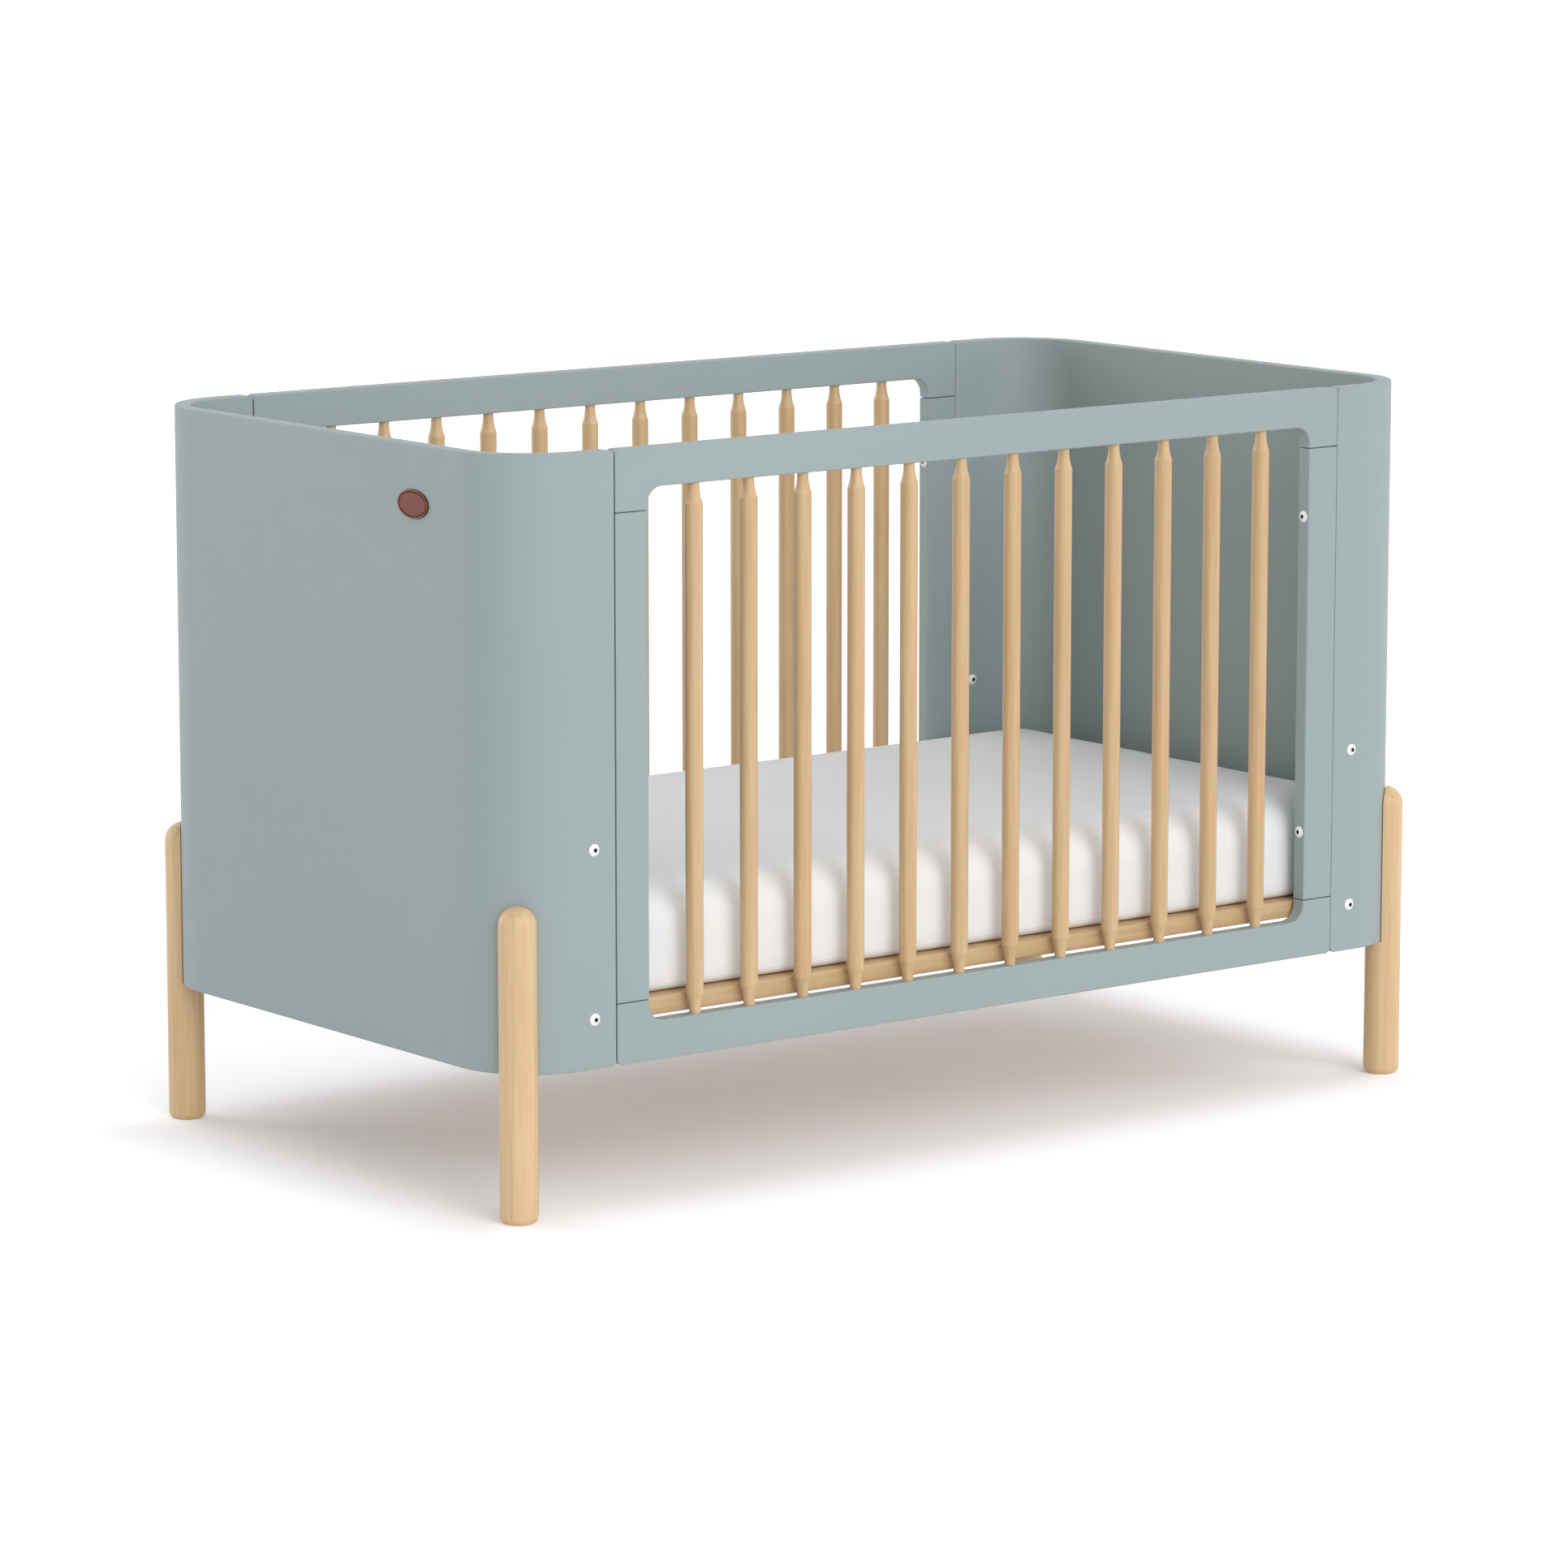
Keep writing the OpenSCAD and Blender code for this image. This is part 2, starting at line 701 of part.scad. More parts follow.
// Front side rail: a ledge for the slats, ends that follow the panels' corners,
// and a slot at each end that is open below and drops over the bolt's sleeve
module base_side_rail() {
    slot_w = sleeve_d + 2 * clear;
    difference() {
        intersection() {
            translate([-base_half_l, -base_half_w, base_z]) along_x(2 * base_half_l)
                rounded_rect(base_rail_w, base_rail_h, [edge_r, 0, 0, edge_r]);
            translate([0, 0, base_z]) linear_extrude(base_rail_h) base_outline();
        }
        translate([-slat_reach - clear, -base_inner_y - slat_ledge, slat_z])
            cube([2 * (slat_reach + clear), slat_ledge + over, slat_t + over]);
        both_ends() {
            translate([base_bolt_x, -base_half_w + base_rail_w / 2, low_bolt_z])
                facing_front() hole(slot_w, base_rail_w + 2 * over);
            translate([base_bolt_x - slot_w / 2, -base_half_w - over, base_z - over])
                cube([slot_w, base_rail_w + 2 * over, base_rail_drop + over]);
            for (side = [-1, 1])
                translate([end_rail_x + base_rail_w / 2 + side * base_dowel_gap,
                    -base_inner_y, base_dowel_z])
                    facing_front() hole(base_dowel_hole_d, dowel_len + 2 * hole_spare);
        }
    }
}

module base_front_rail() {
    color(beech) base_side_rail();
}

module base_rear_rail() {
    color(beech) mirror([0, 1, 0]) base_side_rail();
}

// Right-hand cross rail of the base, between the side rails
module base_end_rail() {
    difference() {
        translate([end_rail_x, -base_inner_y, base_z]) along_y(2 * base_inner_y)
            rounded_rect(base_rail_w, base_rail_h, [edge_r, edge_r, edge_r, edge_r]);
        both_sides() for (side = [-1, 1])
            translate([end_rail_x + base_rail_w / 2 + side * base_dowel_gap,
                -base_inner_y, base_dowel_z])
                facing_front() hole(base_dowel_hole_d, dowel_len + 2 * hole_spare);
        for (side = [-1, 1])
            translate([end_rail_x, side * base_dowel_gap, base_dowel_z])
                facing_right() hole(base_dowel_hole_d, dowel_len + 2 * hole_spare);
    }
}

module base_left_rail() {
    color(beech) mirror([1, 0, 0]) base_end_rail();
}

module base_right_rail() {
    color(beech) base_end_rail();
}

// Rail along the middle, under the slats
module base_centre_rail() {
    color(beech) difference() {
        translate([-end_rail_x, -base_rail_w / 2, base_z]) along_x(2 * end_rail_x)
            rounded_rect(base_rail_w, centre_rail_h, [edge_r, edge_r, 0, 0]);
        both_ends() for (side = [-1, 1])
            translate([end_rail_x, side * base_dowel_gap, base_dowel_z])
                facing_right() hole(base_dowel_hole_d, dowel_len + 2 * hole_spare);
    }
}

module base_slats() {
    color(beech) for (i = [0:slat_count - 1])
        translate([(i - (slat_count - 1) / 2) * slat_pitch - slat_w / 2, -slat_half_l, slat_z])
            along_y(2 * slat_half_l) rounded_rect(slat_w, slat_t, [0, 0, edge_r, edge_r]);
}

module base_dowels() {
    color(beech) both_ends() for (side = [-1, 1]) {
        both_sides()
            translate([end_rail_x + base_rail_w / 2 + side * base_dowel_gap,
                -base_inner_y, base_dowel_z])
                facing_front() hole(base_dowel_d, dowel_len);
        translate([end_rail_x, side * base_dowel_gap, base_dowel_z])
            facing_right() hole(base_dowel_d, dowel_len);
    }
}

// ---------- mattress ----------

// Round slice of the mattress's front right corner, its rim rounded with radius r about height z
module mattress_corner(r, z) {
    translate([mattress_half_l - mattress_corner_r, -mattress_half_w + mattress_corner_r,
        mattress_z + z])
        rotate_extrude($fn = 32) intersection() {
            translate([mattress_corner_r - r, 0]) circle(r, $fn = 24);
            translate([0, -r]) square([mattress_corner_r, 2 * r]);
        }
}

module mattress() {
    color(cover) hull() both_ends() both_sides() {
        mattress_corner(mattress_low_r, mattress_low_r);
        mattress_corner(mattress_top_r, mattress_t - mattress_top_r);
    }
}

// ---------- parts ----------

front_y = -half_w;
rear_y = half_w - board_t;

left_end_panel();
right_end_panel();
top_rail(front_y);  // front_top_rail
bottom_rail(front_y);  // front_bottom_rail
top_rail(rear_y);  // rear_top_rail
bottom_rail(rear_y);  // rear_bottom_rail
side_stile(1, front_y);  // front_left_stile
side_stile(0, front_y);  // front_right_stile
side_stile(1, rear_y);  // rear_left_stile
side_stile(0, rear_y);  // rear_right_stile
for (i = [1:spindle_count]) {
    spindle(i, front_y + board_mid);
    spindle(i, rear_y + board_mid);
}
corner_leg(1, 0);  // front_left_leg
corner_leg(0, 0);  // front_right_leg
corner_leg(1, 1);  // rear_left_leg
corner_leg(0, 1);  // rear_right_leg
frame_bolts();
frame_inserts();
panel_dowels();
stile_dowels();
leg_bolts();
leg_inserts();
base_bolts();
upper_sleeve_nuts();
lower_sleeve_nuts();
badge();
base_front_rail();
base_rear_rail();
base_left_rail();
base_right_rail();
base_centre_rail();
base_slats();
base_dowels();
mattress();
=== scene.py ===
"""Baby crib: finishes of painted board, lacquered beech, capped steel and copper,
a padded mattress, and a plain stage."""

import json
import math

import bmesh
import bpy
from bpy.props import FloatProperty, FloatVectorProperty, IntProperty, PointerProperty
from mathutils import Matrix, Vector

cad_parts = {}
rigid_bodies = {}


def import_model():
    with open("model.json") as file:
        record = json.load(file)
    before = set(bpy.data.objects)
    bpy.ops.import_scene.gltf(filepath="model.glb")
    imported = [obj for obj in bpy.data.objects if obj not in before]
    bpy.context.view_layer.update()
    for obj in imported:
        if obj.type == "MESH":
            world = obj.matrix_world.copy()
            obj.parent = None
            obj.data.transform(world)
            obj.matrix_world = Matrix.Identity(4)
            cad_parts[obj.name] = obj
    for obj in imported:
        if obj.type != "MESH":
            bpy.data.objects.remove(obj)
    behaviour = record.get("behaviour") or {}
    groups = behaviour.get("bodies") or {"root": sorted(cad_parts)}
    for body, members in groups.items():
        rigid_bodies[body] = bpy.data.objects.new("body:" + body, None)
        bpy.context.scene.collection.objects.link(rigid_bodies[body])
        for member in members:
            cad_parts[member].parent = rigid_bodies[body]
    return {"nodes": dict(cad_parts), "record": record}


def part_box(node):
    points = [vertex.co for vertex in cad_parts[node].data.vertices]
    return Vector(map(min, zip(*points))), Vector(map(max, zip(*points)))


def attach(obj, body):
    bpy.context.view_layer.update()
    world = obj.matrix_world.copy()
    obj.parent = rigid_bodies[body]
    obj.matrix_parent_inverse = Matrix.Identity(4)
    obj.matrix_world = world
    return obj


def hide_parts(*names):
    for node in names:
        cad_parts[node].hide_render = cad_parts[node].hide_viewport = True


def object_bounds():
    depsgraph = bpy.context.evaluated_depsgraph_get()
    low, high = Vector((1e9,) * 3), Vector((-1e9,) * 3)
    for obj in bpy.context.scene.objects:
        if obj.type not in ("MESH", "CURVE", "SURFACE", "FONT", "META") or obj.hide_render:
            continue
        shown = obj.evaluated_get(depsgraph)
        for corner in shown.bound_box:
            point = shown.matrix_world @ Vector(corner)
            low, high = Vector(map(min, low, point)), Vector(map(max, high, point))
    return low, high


bl_info = {
    "name": "Baby Crib",
    "version": (1, 0, 0),
    "blender": (4, 5, 0),
    "location": "3D View > Sidebar > Crib",
    "description": "Dresses the crib's parts, makes its mattress and sets the stage",
    "category": "Object",
}

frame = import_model()
CAD_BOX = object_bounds()

NODES = frame["nodes"]
SLOT_OF = {part["node"]: part["material_slot"] for part in frame["record"]["subparts"]}
X, Y, Z = Vector((1, 0, 0)), Vector((0, 1, 0)), Vector((0, 0, 1))
MM = 0.001
MOST_NOISE = (0.3, 0.7)  # The range in which most of a noise's values lie


# ---------- sizes and colours that a user would change ----------

def color_property(name, description, default):
    return FloatVectorProperty(
        name=name, description=description, default=default, subtype="COLOR",
        size=3, min=0, max=1)


def length_property(name, description, default):
    return FloatProperty(
        name=name, description=description, default=default, unit="LENGTH", min=0)


def share_property(name, description, default):
    return FloatProperty(
        name=name, description=description, default=default, subtype="FACTOR", min=0, max=1)


def strength_property(name, description, default):
    return FloatProperty(name=name, description=description, default=default, min=0)


class PaintLook(bpy.types.PropertyGroup):
    color: color_property("Colour", "Grey-green satin paint", (0.308, 0.371, 0.372))
    drift: share_property("Drift", "How far the shade wanders over a board", 0.02)
    roughness: share_property("Roughness", "Gloss of the satin paint", 0.48)
    peel: length_property("Peel", "Height of the sprayed paint's orange peel", 0.02 * MM)


class BeechLook(bpy.types.PropertyGroup):
    light: color_property("Light wood", "Early wood of the beech", (0.715, 0.510, 0.299))
    dark: color_property("Dark wood", "Late wood of the beech", (0.603, 0.397, 0.205))
    fleck: color_property("Flecks", "Short rays in the wood", (0.45, 0.27, 0.12))
    deep: color_property(
        "Deeper tint", "Tint of the spindles and base beside the legs", (0.89, 0.875, 0.85))
    ring_width: length_property("Ring width", "Width of the streaks across the grain", 6 * MM)
    roughness: share_property("Roughness", "Gloss of the clear lacquer", 0.40)


class SteelLook(bpy.types.PropertyGroup):
    cap: color_property("Cap", "White coating of the bolt heads", (0.86, 0.86, 0.86))
    # The socket colour is painted shade, put in the hollows of the hex sockets
    socket: color_property("Socket", "Bare steel in the hex sockets", (0.02, 0.02, 0.022))
    zinc: color_property("Zinc", "Plated inserts and screws", (0.55, 0.55, 0.56))


class BadgeLook(bpy.types.PropertyGroup):
    copper: color_property("Copper", "Field of the badge", (0.125, 0.048, 0.033))
    worn: color_property("Worn copper", "Rubbed rim of the badge", (0.24, 0.075, 0.045))
    patina_and_shade: color_property("Patina", "Dark tone in the groove", (0.03, 0.016, 0.013))
    # The outer edge's dark tone is partly patina and partly painted shade
    edge: share_property("Edge", "How much of the patina lies on the outer edge", 0.8)


class MattressLook(bpy.types.PropertyGroup):
    cover: color_property("Cover", "Knitted cotton cover", (0.895, 0.905, 0.922))
    loft: length_property("Loft", "How much higher than its place the pad starts", 3.5 * MM)
    side_gap: length_property("Side gap", "How far inside its place the pad's sides start", 1 * MM)
    voxel: length_property("Voxel", "Grid of the cloth", 10 * MM)
    pressure: FloatProperty(
        name="Pressure", description="Push of the filling on the cover", default=5, min=0)
    cap: length_property("Cap", "Farthest that a point of the cover may move", 4.5 * MM)
    slack: length_property("Slack", "Farthest that a point may move inwards", 0.5 * MM)
    rest: length_property(
        "Resting height", "Height above the base from which the cover moves freely", 50 * MM)
    frames: IntProperty(
        name="Frames", description="Length of the cloth simulation", default=20, min=2)


class StageLook(bpy.types.PropertyGroup):
    azimuth: FloatProperty(
        name="Azimuth", description="Turn of the camera towards the left end",
        default=math.radians(37.77), subtype="ANGLE")
    elevation: FloatProperty(
        name="Elevation", description="Camera's angle above the horizon",
        default=math.radians(9.51), subtype="ANGLE")
    distance: length_property("Distance", "From the camera to its aim", 7.686)
    aim_height: length_property("Aim height", "Height of the point looked at", 0.381)
    aim_depth: length_property("Aim depth", "How far behind the middle that point lies", 0.020)
    lens: FloatProperty(
        name="Lens", description="Focal length on a 36 mm sensor", default=145.3,
        min=1, subtype="DISTANCE_CAMERA")
    ambient: strength_property("Ambient", "Even light from all round", 0.45)
    key: strength_property("Key", "Wide light at the front", 0.85)
    low: strength_property("Low", "Low light at the front, a little to the left", 0.86)
    above: strength_property("Above", "High light at the front", 0.265)
    right: strength_property("Right", "Low light at the front right", 0.31)
    far_right: strength_property("Far right", "High light at the right end", 0.37)
    rear_left: strength_property("Rear left", "Low light behind the left end", 0.86)
    rear: strength_property("Rear", "High light at the rear", 0.33)
    floor: color_property("Floor", "Floor as it lights the crib", (0.97, 0.97, 0.97))
    floor_seen: color_property("Floor seen", "Floor as the camera sees it", (1, 0.985, 0.985))
    glow_color: color_property("Glow colour", "Glow that the camera sees", (0.85, 0.88, 1))
    # The lift is an even glow; the further glow past the shadow is painted light that sets where
    # the floor's shadow ends
    lift: strength_property("Lift", "Glow of the floor in the crib's shadow", 0.105)
    glow: strength_property("Glow", "Further glow of the floor past the shadow", 0.24)


class CribLook(bpy.types.PropertyGroup):
    paint: PointerProperty(type=PaintLook)
    beech: PointerProperty(type=BeechLook)
    steel: PointerProperty(type=SteelLook)
    badge: PointerProperty(type=BadgeLook)
    mattress: PointerProperty(type=MattressLook)
    stage: PointerProperty(type=StageLook)


# ---------- shader helpers ----------

def rgba(color):
    """An opaque colour, as sockets take it."""
    return (*color, 1)


def toned(color, *shares):
    """A colour times one share, or times a share for each of its parts."""
    factors = shares * 3 if len(shares) == 1 else shares
    return rgba(part * factor for part, factor in zip(color, factors))


def new_finish(name, **constants):
    """A material and its shader, with the constants on the shader's own sockets."""
    finish = bpy.data.materials.new(name)
    finish.use_nodes = True
    shader = finish.node_tree.nodes["Principled BSDF"]
    for socket, value in constants.items():
        shader.inputs[socket.replace("_", " ")].default_value = value
    return finish, finish.node_tree, shader


def add(tree, kind, inputs=(), **settings):
    """A node with its settings, whose inputs are linked or set."""
    made = tree.nodes.new(kind)
    for name, value in settings.items():
        setattr(made, name, value)
    for name, value in dict(inputs).items():
        if isinstance(value, bpy.types.NodeSocket):
            tree.links.new(value, made.inputs[name])
        else:
            made.inputs[name].default_value = value
    return made


def object_place(tree, scale=(1, 1, 1)):
    """Object coordinates, stretched by scale."""
    place = add(tree, "ShaderNodeTexCoord").outputs["Object"]
    return add(tree, "ShaderNodeMapping", {"Vector": place, "Scale": scale}).outputs[0]


def noise(tree, place, scale, detail=2.0, roughness=0.5):
    """Noise with about scale patches to each unit of place."""
    return add(tree, "ShaderNodeTexNoise", {
        "Vector": place, "Scale": scale, "Detail": detail, "Roughness": roughness,
    }).outputs["Fac"]


def grain(tree, along, scale, shrink, detail, roughness=0.5):
    """Noise with about scale patches to the metre, and shrink times as many along the
    grain's own axis."""
    scales = tuple(scale * (shrink if part else 1) for part in along)
    return noise(tree, object_place(tree, scales), 1.0, detail, roughness)


def spread(tree, value, low, high, to_low=0.0, to_high=1.0):
    """value mapped from low..high to to_low..to_high, and held there."""
    return add(tree, "ShaderNodeMapRange", {
        "Value": value, "From Min": low, "From Max": high,
        "To Min": to_low, "To Max": to_high,
    }).outputs[0]


def math_node(tree, operation, a, b):
    """A sum on two numbers."""
    return add(tree, "ShaderNodeMath", {0: a, 1: b}, operation=operation).outputs[0]


def vector_node(tree, operation, a, b=(0, 0, 0)):
    """A sum on one or two vectors, which gives a number for a length or dot product."""
    made = add(tree, "ShaderNodeVectorMath", {0: a, 1: b}, operation=operation)
    return made.outputs["Value"] if operation in ("DOT_PRODUCT", "LENGTH") else made.outputs[0]


def blend_colors(tree, share, first, second):
    """The first colour where share is 0, and the second where it is 1."""
    return add(tree, "ShaderNodeMix", {"Factor": share, 6: first, 7: second},
               data_type="RGBA").outputs[2]


def add_bump(tree, shader, height, distance):
    """Raises a finish by distance where height is 1."""
    bump = add(tree, "ShaderNodeBump", {
        "Height": height, "Distance": distance, "Strength": 1.0})
    tree.links.new(bump.outputs[0], shader.inputs["Normal"])


def color_by(tree, shader, color):
    """Gives a finish the colour that a node makes."""
    tree.links.new(color, shader.inputs["Base Color"])


def gloss_by(tree, shader, pattern, smooth, rough, across=MOST_NOISE):
    """Gives a finish a roughness that follows a pattern from smooth to rough."""
    tree.links.new(spread(tree, pattern, *across, smooth, rough), shader.inputs["Roughness"])


def seen_directly(tree):
    """1 where a camera, mirror or glass ray arrives, and 0 for light that bounces."""
    path = add(tree, "ShaderNodeLightPath")
    straight = math_node(tree, "MAXIMUM", path.outputs["Is Camera Ray"],
                         path.outputs["Is Glossy Ray"])
    return math_node(tree, "MAXIMUM", straight, path.outputs["Is Transmission Ray"])


def use_finish(node, finish):
    """Puts a finish in every material slot of a node or a piece."""
    mesh = node.data
    if not mesh.materials:
        mesh.materials.append(finish)
    for slot in node.material_slots:
        slot.material = finish


# ---------- finishes ----------

def painted_board(look):
    """Satin paint sprayed on board: a slow drift of shade and a fine orange peel."""
    finish, tree, shader = new_finish("painted_board", Specular_IOR_Level=0.25)
    place = object_place(tree)
    cloud = noise(tree, place, scale=2.2, detail=3.0)
    haze = noise(tree, place, scale=35.0, detail=4.0)
    peel = noise(tree, place, scale=420.0)
    darker = toned(look.color, 1 - look.drift)
    lighter = toned(look.color, 1 + look.drift)
    shade = blend_colors(tree, spread(tree, cloud, *MOST_NOISE), darker, lighter)
    color_by(tree, shader, shade)
    gloss_by(tree, shader, haze, smooth=look.roughness - 0.04, rough=look.roughness + 0.05)
    add_bump(tree, shader, peel, look.peel)
    return finish


def beech(name, along, look, tint=(1, 1, 1)):
    """Clear-lacquered beech whose grain runs along one axis."""
    finish, tree, shader = new_finish("beech_" + name, Specular_IOR_Level=0.45)
    rings_to_metre = 1 / look.ring_width
    streaks = grain(tree, along, rings_to_metre, shrink=0.035, detail=5.0, roughness=0.62)
    bands = grain(tree, along, scale=9.0, shrink=0.12, detail=2.0)
    rays = grain(tree, along, scale=1500.0, shrink=0.09, detail=1.0)
    late = math_node(tree, "ADD", spread(tree, streaks, 0.36, 0.66, to_high=0.7),
                     spread(tree, bands, 0.35, 0.65, to_high=0.3))
    wood = blend_colors(tree, late, toned(look.light, *tint), toned(look.dark, *tint))
    fleck = spread(tree, rays, 0.66, 0.76, to_high=0.35)
    color_by(tree, shader, blend_colors(tree, fleck, wood, rgba(look.fleck)))
    gloss_by(tree, shader, streaks, smooth=look.roughness - 0.05, rough=look.roughness + 0.08)
    pores = math_node(tree, "SUBTRACT", streaks, fleck)
    add_bump(tree, shader, pores, 0.12 * MM)
    return finish


def away_from_axes(tree, centre, half, axis):
    """Distances from the nearest of a mirrored set of bolt axes, and outwards from the
    heads' tops. The tops lie at centre plus or minus half, and axis points away from the
    crib's middle along the bolts."""
    place = object_place(tree)
    offset = vector_node(tree, "SUBTRACT", place, centre)
    offset = vector_node(tree, "SUBTRACT", vector_node(tree, "ABSOLUTE", offset), half)
    along = vector_node(tree, "DOT_PRODUCT", offset, axis)
    part = add(tree, "ShaderNodeVectorMath", {0: tuple(axis), "Scale": along},
               operation="SCALE").outputs[0]
    radius = vector_node(tree, "LENGTH", vector_node(tree, "SUBTRACT", offset, part))
    return radius, along


def capped_steel(name, look, centre, half, axis, outward, socket_radius):
    """White-coated heads whose hex sockets are coloured near-black: painted shade in the
    sockets' hollows. outward is 1 for heads that face away from the crib's middle, and -1
    for those that face it."""
    finish, tree, shader = new_finish(
        "capped_steel_" + name, Specular_IOR_Level=0.5, Roughness=0.28)
    radius, along = away_from_axes(tree, centre, half, axis)
    # Painted shade: the socket darkens from its mouth downwards, as shade falls in the hollow
    depth = math_node(tree, "MULTIPLY", along, -outward)
    shade_with_depth = spread(tree, depth, 0.35 * MM, 0.8 * MM)
    inside = math_node(tree, "LESS_THAN", radius, socket_radius)
    socket_shade = math_node(tree, "MULTIPLY", inside, shade_with_depth)
    color_by(tree, shader, blend_colors(tree, socket_shade, rgba(look.cap), rgba(look.socket)))
    add_bump(tree, shader, noise(tree, object_place(tree), scale=900.0), 0.02 * MM)
    return finish


def zinc_steel(look):
    """Zinc-plated steel with a faint crystalline bloom."""
    finish, tree, shader = new_finish("zinc_steel", Metallic=1.0)
    bloom = noise(tree, object_place(tree), scale=300.0, detail=3.0)
    color_by(tree, shader, blend_colors(tree, bloom, toned(look.zinc, 0.8), rgba(look.zinc)))
    gloss_by(tree, shader, bloom, smooth=0.25, rough=0.45, across=(0.2, 0.8))
    return finish


def antique_copper(look, low, high):
    """Copper on an oval plate between two corners: a brushed field, a rubbed rim, a patina in
    the groove, and an outer edge darkened partly by patina and partly by painted shade."""
    finish, tree, shader = new_finish(
        "antique_copper", Metallic=0.55, Specular_IOR_Level=0.2)
    # 0 in the plate's middle and 1 on its outline
    centre, half = (low + high) / 2, (high - low) / 2
    offset = vector_node(tree, "SUBTRACT", object_place(tree), centre)
    oval = vector_node(tree, "MULTIPLY", offset, (0, 1 / half.y, 1 / half.z))
    reach = vector_node(tree, "LENGTH", oval)
    brushed = noise(tree, object_place(tree, (300, 300, 2500)), scale=1.0, detail=3.0)
    patches = noise(tree, object_place(tree), scale=160.0, detail=4.0)
    rubbed = math_node(tree, "MULTIPLY", brushed, patches)
    field = blend_colors(tree, rubbed, rgba(look.copper), rgba(look.worn))
    rim = spread(tree, reach, 0.9, 0.94)
    plate = blend_colors(tree, rim, field, rgba(look.worn))
    # The plate faces left, so what is sunken lies further right
    place_x = add(tree, "ShaderNodeSeparateXYZ", {0: object_place(tree)}).outputs["X"]
    sunken = spread(tree, place_x, low.x + 0.2 * MM, low.x + 0.6 * MM)
    # The outer edge keeps look.edge of the dark tone: partly patina, partly painted shade where
    # the plate's edge meets the panel
    edge_patina_and_shade = spread(tree, reach, 0.95, 0.97, to_low=1.0, to_high=look.edge)
    patina_and_shade = math_node(tree, "MULTIPLY", sunken, edge_patina_and_shade)
    color_by(tree, shader, blend_colors(tree, patina_and_shade, plate, rgba(look.patina_and_shade)))
    gloss_by(tree, shader, patches, smooth=0.38, rough=0.55)
    add_bump(tree, shader, brushed, 0.03 * MM)
    return finish


def knitted_cover(look):
    """White knitted cotton: rows of stitches, a slow drift and a soft sheen."""
    finish, tree, shader = new_finish(
        "knitted_cover", Roughness=0.85, Specular_IOR_Level=0.25, Sheen_Weight=0.25,
        Sheen_Roughness=0.5)
    place = object_place(tree)
    stitch_width = 1.3 * MM
    turns = 2 * math.pi / stitch_width
    rows = vector_node(tree, "SINE", vector_node(tree, "MULTIPLY", place, (turns,) * 3))
    knit = vector_node(tree, "DOT_PRODUCT", rows, (1, 1, 1))
    drift = noise(tree, place, scale=6.0, detail=3.0)
    shade = blend_colors(tree, drift, toned(look.cover, 0.96), rgba(look.cover))
    # Darker between the stitches, where the sum of the sines is low
    between = spread(tree, knit, -3.0, 1.5, to_low=0.12, to_high=0.0)
    color_by(tree, shader, blend_colors(tree, between, shade, toned(look.cover, 0.72)))
    add_bump(tree, shader, knit, 0.08 * MM)
    return finish


# ---------- modelling helpers ----------

def deselect_all():
    """Leaves nothing selected and nothing active."""
    for thing in bpy.context.view_layer.objects:
        thing.select_set(False)
    bpy.context.view_layer.objects.active = None


def take_in_hand(piece):
    """Makes a piece the only selected one, and the active one."""
    deselect_all()
    piece.select_set(True)
    bpy.context.view_layer.objects.active = piece


def name_piece(name):
    """Names the object that an operator has just added."""
    piece = bpy.context.object
    piece.name = name
    piece.data.name = name
    return piece


def settle(piece):
    """Puts a piece's place, turn and scale in its mesh, its object at the origin."""
    take_in_hand(piece)
    bpy.ops.object.transform_apply(location=True, rotation=True, scale=True)


def apply_modifiers(piece):
    """Puts what a piece's modifiers make in its mesh."""
    take_in_hand(piece)
    for modifier in list(piece.modifiers):
        bpy.ops.object.modifier_apply(modifier=modifier.name)


def edge_is_upright(edge):
    """True for an edge that runs more upwards than sideways."""
    a, b = (vertex.co for vertex in edge.verts)
    return abs(a.z - b.z) > abs(a.x - b.x) + abs(a.y - b.y)


def edge_lies_at(edge, height):
    """True for an edge that lies level at one height."""
    nearby = 0.1 * MM
    return all(abs(vertex.co.z - height) < nearby for vertex in edge.verts)


def select_edges(piece, wanted):
    """Selects the wanted edges of a piece in edit mode, and nothing else."""
    bpy.ops.mesh.select_mode(type="EDGE")
    bpy.ops.mesh.select_all(action="DESELECT")
    mesh = bmesh.from_edit_mesh(piece.data)
    for edge in mesh.edges:
        edge.select_set(wanted(edge))
    bmesh.update_edit_mesh(piece.data)


def inner_reach(name, axis):
    """Smallest distance of a node's points from the crib's middle along one axis."""
    return min(abs(v.co[axis]) for v in NODES[name].data.vertices)


# ---------- operators ----------

class CribOperator:
    """What the crib's operators share."""

    bl_options = {"REGISTER", "UNDO"}

    @property
    def look(self):
        return bpy.context.scene.crib_look


class CRIB_OT_paint_boards(CribOperator, bpy.types.Operator):
    """Paint the end panels, rails and stiles"""

    bl_idname = "crib.paint_boards"
    bl_label = "Paint boards"

    def execute(self, context):
        finish = painted_board(self.look.paint)
        for name, slot in SLOT_OF.items():
            if slot == "paint":
                use_finish(NODES[name], finish)
        return {"FINISHED"}


